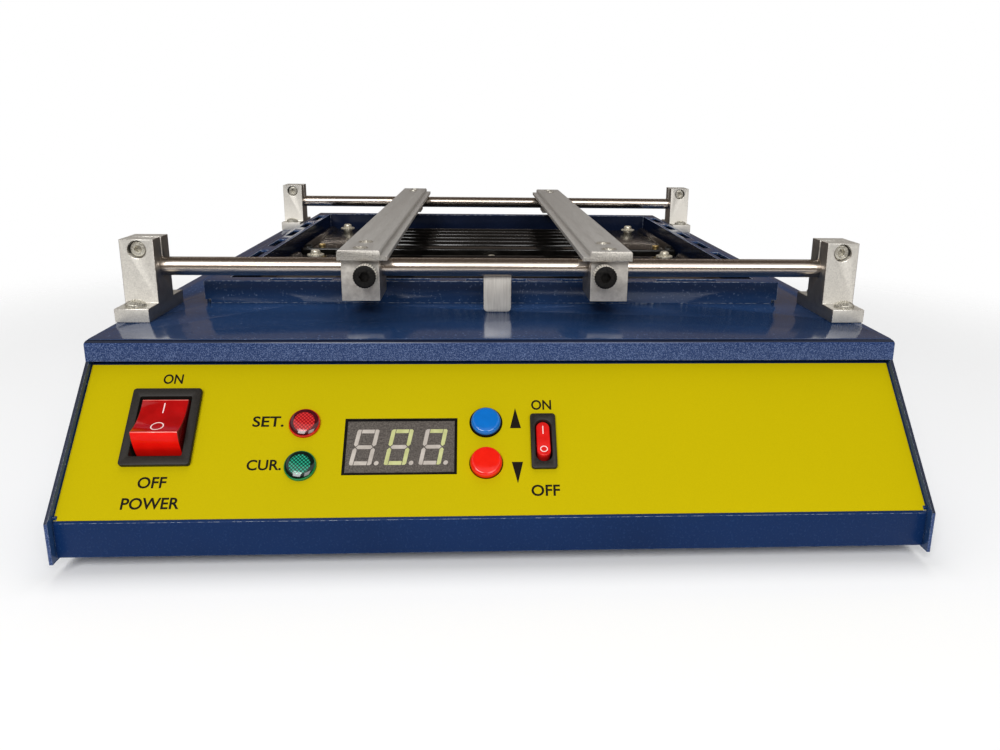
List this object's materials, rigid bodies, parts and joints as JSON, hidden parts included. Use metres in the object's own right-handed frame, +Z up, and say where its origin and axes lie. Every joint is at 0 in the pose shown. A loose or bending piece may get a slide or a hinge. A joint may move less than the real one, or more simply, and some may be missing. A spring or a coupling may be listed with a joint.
{
  "type": "pcb preheater",
  "caption": "Benchtop infrared preheating plate: sloped-front sheet case with a heater well in its deck and sliding beams on rods that hold a circuit board above it.",
  "frame": {"origin": "on the table, under the middle of the case", "axes": "+Z up, -Y towards the operator, +X to the operator's right"},
  "size_m": [0.317, 0.4392, 0.1075],
  "materials": {
    "blue_paint": "fine-textured baked paint",
    "label": "printed satin film",
    "aluminium": "bead-blasted",
    "rod_steel": "ground and polished",
    "black_pan": "heat-proof black",
    "ceramic": "black glazed ceramic",
    "fibre": "mineral fibre",
    "zinc_steel": "zinc plated",
    "brass": "plain",
    "black_steel": "black oxide",
    "black_plastic": "moulded",
    "red_plastic": "translucent moulded",
    "red_cap": "moulded",
    "blue_cap": "moulded",
    "red_lens": "clear lens",
    "green_lens": "clear lens",
    "smoked": "smoked window",
    "display": "display body",
    "board": "solder resist",
    "ceramic_white": "plain ceramic",
    "rubber": "moulded",
    "matte": "moulded"
  },
  "bodies": {
    "case": {"top_cover": "blue_paint", "base_chassis": "blue_paint", "panel_label": "label", "well_frame": "blue_paint", "heater_pan": "black_pan", "insulation_board": "fibre", "emitter_front": "ceramic", "emitter_rear": "ceramic", "emitter_terminals": "brass", "clamp_posts": "zinc_steel", "clamp_screws": "zinc_steel", "thermocouple": "zinc_steel", "front_rod": "rod_steel", "rear_rod": "rod_steel", "support_front_left": "aluminium", "support_front_right": "aluminium", "support_rear_left": "aluminium", "support_rear_right": "aluminium", "pinch_screws": "zinc_steel", "support_screws": "zinc_steel", "rod_prop": "aluminium", "prop_screw": "zinc_steel", "power_switch": "black_plastic", "heat_switch": "black_plastic", "lamp_holders": "black_plastic", "set_lens": "red_lens", "cur_lens": "green_lens", "display_window": "smoked", "display_module": "display", "button_switches": "black_plastic", "control_board": "board", "board_posts": "brass", "mains_inlet": "black_plastic", "inlet_pins": "brass", "inlet_screws": "zinc_steel", "transformer": "zinc_steel", "heat_sink": "aluminium", "power_module": "matte", "terminal_block": "ceramic_white", "feet": "rubber", "foot_screws": "zinc_steel", "cover_screws": "black_steel"},
    "left_beam": {"left_beam": "aluminium", "left_front_block": "aluminium", "left_rear_block": "aluminium", "left_beam_screws": "zinc_steel"},
    "left_thumb": {"left_thumb_screw": "black_steel"},
    "right_beam": {"right_beam": "aluminium", "right_front_block": "aluminium", "right_rear_block": "aluminium", "right_beam_screws": "zinc_steel"},
    "right_thumb": {"right_thumb_screw": "black_steel"},
    "power_rocker": {"power_rocker": "red_plastic"},
    "heat_rocker": {"heat_rocker": "red_plastic"},
    "up_button": {"up_button": "blue_cap"},
    "down_button": {"down_button": "red_cap"}
  },
  "joints": [
    {"name": "left_beam_slide", "type": "slide", "parent": "case", "child": "left_beam", "axis": [1, 0, 0], "range_m": [-0.075, 0.042]},
    {"name": "right_beam_slide", "type": "slide", "parent": "case", "child": "right_beam", "axis": [1, 0, 0], "range_m": [-0.032, 0.085]},
    {"name": "left_thumb_turn", "type": "hinge", "parent": "left_beam", "child": "left_thumb", "pos_m": [-0.0556, -0.138, 0.094], "axis": [0, -1, 0], "range_deg": [0, 360]},
    {"name": "right_thumb_turn", "type": "hinge", "parent": "right_beam", "child": "right_thumb", "pos_m": [0.0451, -0.138, 0.094], "axis": [0, -1, 0], "range_deg": [0, 360]},
    {"name": "power_rocker_tilt", "type": "hinge", "parent": "case", "child": "power_rocker", "pos_m": [-0.1259, -0.18652, 0.04096], "axis": [1, 0, 0], "range_deg": [0, 28]},
    {"name": "heat_rocker_tilt", "type": "hinge", "parent": "case", "child": "heat_rocker", "pos_m": [0.0159, -0.19274, 0.03756], "axis": [1, 0, 0], "range_deg": [0, 18]},
    {"name": "up_button_press", "type": "slide", "parent": "case", "child": "up_button", "axis": [0, 0.7071, -0.7071], "range_m": [0, 0.0009], "stiffness_N_per_m": 800, "springref_m": -0.001},
    {"name": "down_button_press", "type": "slide", "parent": "case", "child": "down_button", "axis": [0, 0.7071, -0.7071], "range_m": [0, 0.0009], "stiffness_N_per_m": 800, "springref_m": -0.001}
  ]
}
